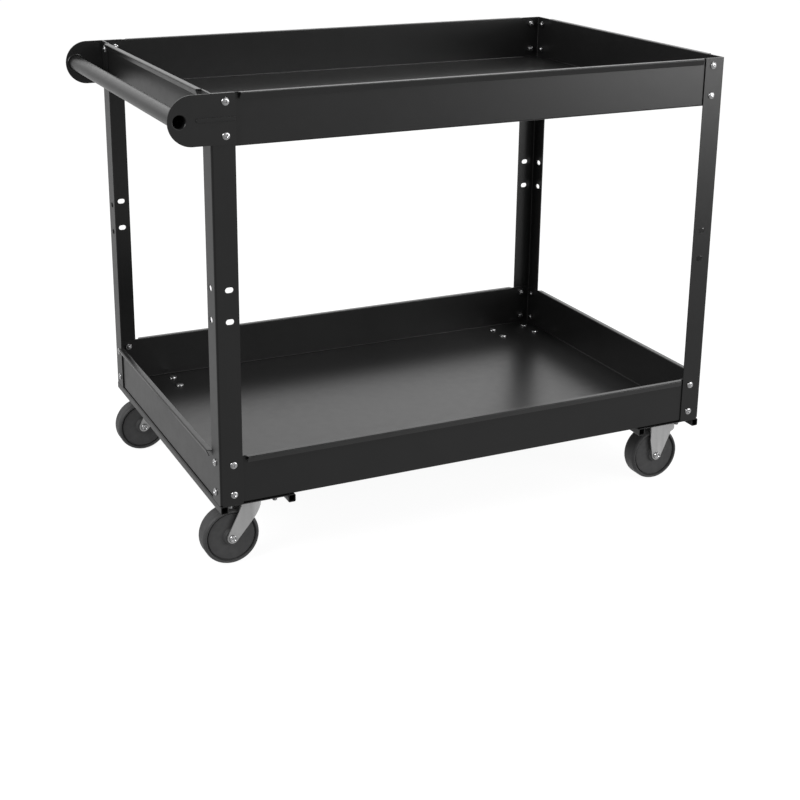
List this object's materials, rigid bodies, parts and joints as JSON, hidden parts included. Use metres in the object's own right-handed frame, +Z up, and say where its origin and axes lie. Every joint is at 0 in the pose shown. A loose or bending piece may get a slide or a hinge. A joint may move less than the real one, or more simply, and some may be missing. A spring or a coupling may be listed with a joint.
{
  "type": "rolling utility cart",
  "caption": "Steel service cart with two deep lipped trays on angle posts, a tube push handle at one end, and swivel and rigid casters.",
  "frame": {"origin": "on the floor, under the middle of the cart's overall length and width", "axes": "+Z up; +X along the cart, away from the handle; the front long side faces -Y"},
  "size_m": [0.9876, 0.6244, 0.7784],
  "materials": {
    "charcoal_coat": "satin powder coat",
    "zinc_plate": "bright zinc plate",
    "wheel_rubber": "matte moulded"
  },
  "bodies": {
    "chassis": {"top_tray": "charcoal_coat", "bottom_tray": "charcoal_coat", "post_front_left": "charcoal_coat", "post_front_right": "charcoal_coat", "post_back_left": "charcoal_coat", "post_back_right": "charcoal_coat", "handle_bracket_front": "charcoal_coat", "handle_bracket_back": "charcoal_coat", "handle_tube": "charcoal_coat", "caster_channel_left": "charcoal_coat", "caster_channel_right": "charcoal_coat", "swivel_plate_front_left": "zinc_plate", "swivel_plate_back_left": "zinc_plate", "ball_ring_front_left": "zinc_plate", "ball_ring_back_left": "zinc_plate", "rigid_fork_front_right": "zinc_plate", "rigid_fork_back_right": "zinc_plate", "axle_front_right": "zinc_plate", "axle_back_right": "zinc_plate", "screw_front_left_top_side_upper": "zinc_plate", "screw_front_left_top_side_lower": "zinc_plate", "screw_front_left_top_end_upper": "zinc_plate", "screw_front_left_top_end_lower": "zinc_plate", "screw_front_left_bottom_side_upper": "zinc_plate", "screw_front_left_bottom_side_lower": "zinc_plate", "screw_front_left_bottom_end_upper": "zinc_plate", "screw_front_left_bottom_end_lower": "zinc_plate", "screw_front_right_top_side_upper": "zinc_plate", "screw_front_right_top_side_lower": "zinc_plate", "screw_front_right_top_end_upper": "zinc_plate", "screw_front_right_top_end_lower": "zinc_plate", "screw_front_right_bottom_side_upper": "zinc_plate", "screw_front_right_bottom_side_lower": "zinc_plate", "screw_front_right_bottom_end_upper": "zinc_plate", "screw_front_right_bottom_end_lower": "zinc_plate", "screw_back_left_top_side_upper": "zinc_plate", "screw_back_left_top_side_lower": "zinc_plate", "screw_back_left_top_end_upper": "zinc_plate", "screw_back_left_top_end_lower": "zinc_plate", "screw_back_left_bottom_side_upper": "zinc_plate", "screw_back_left_bottom_side_lower": "zinc_plate", "screw_back_left_bottom_end_upper": "zinc_plate", "screw_back_left_bottom_end_lower": "zinc_plate", "screw_back_right_top_side_upper": "zinc_plate", "screw_back_right_top_side_lower": "zinc_plate", "screw_back_right_top_end_upper": "zinc_plate", "screw_back_right_top_end_lower": "zinc_plate", "screw_back_right_bottom_side_upper": "zinc_plate", "screw_back_right_bottom_side_lower": "zinc_plate", "screw_back_right_bottom_end_upper": "zinc_plate", "screw_back_right_bottom_end_lower": "zinc_plate"},
    "swivel_front_left": {"swivel_fork_front_left": "zinc_plate", "axle_front_left": "zinc_plate"},
    "wheel_front_left": {"wheel_front_left": "wheel_rubber"},
    "wheel_front_right": {"wheel_front_right": "wheel_rubber"},
    "swivel_back_left": {"swivel_fork_back_left": "zinc_plate", "axle_back_left": "zinc_plate"},
    "wheel_back_left": {"wheel_back_left": "wheel_rubber"},
    "wheel_back_right": {"wheel_back_right": "wheel_rubber"}
  },
  "joints": [
    {"name": "front_left_caster_swivel", "type": "hinge", "parent": "chassis", "child": "swivel_front_left", "pos_m": [-0.36445, -0.254, 0.1086], "axis": [0, 0, 1], "continuous": true},
    {"name": "front_left_wheel_spin", "type": "hinge", "parent": "swivel_front_left", "child": "wheel_front_left", "pos_m": [-0.39875, -0.254, 0.048], "axis": [0, 1, 0], "continuous": true},
    {"name": "front_right_wheel_spin", "type": "hinge", "parent": "chassis", "child": "wheel_front_right", "pos_m": [0.42295, -0.254, 0.048], "axis": [0, 1, 0], "continuous": true},
    {"name": "back_left_caster_swivel", "type": "hinge", "parent": "chassis", "child": "swivel_back_left", "pos_m": [-0.36445, 0.254, 0.1086], "axis": [0, 0, 1], "continuous": true},
    {"name": "back_left_wheel_spin", "type": "hinge", "parent": "swivel_back_left", "child": "wheel_back_left", "pos_m": [-0.39875, 0.254, 0.048], "axis": [0, 1, 0], "continuous": true},
    {"name": "back_right_wheel_spin", "type": "hinge", "parent": "chassis", "child": "wheel_back_right", "pos_m": [0.42295, 0.254, 0.048], "axis": [0, 1, 0], "continuous": true}
  ]
}
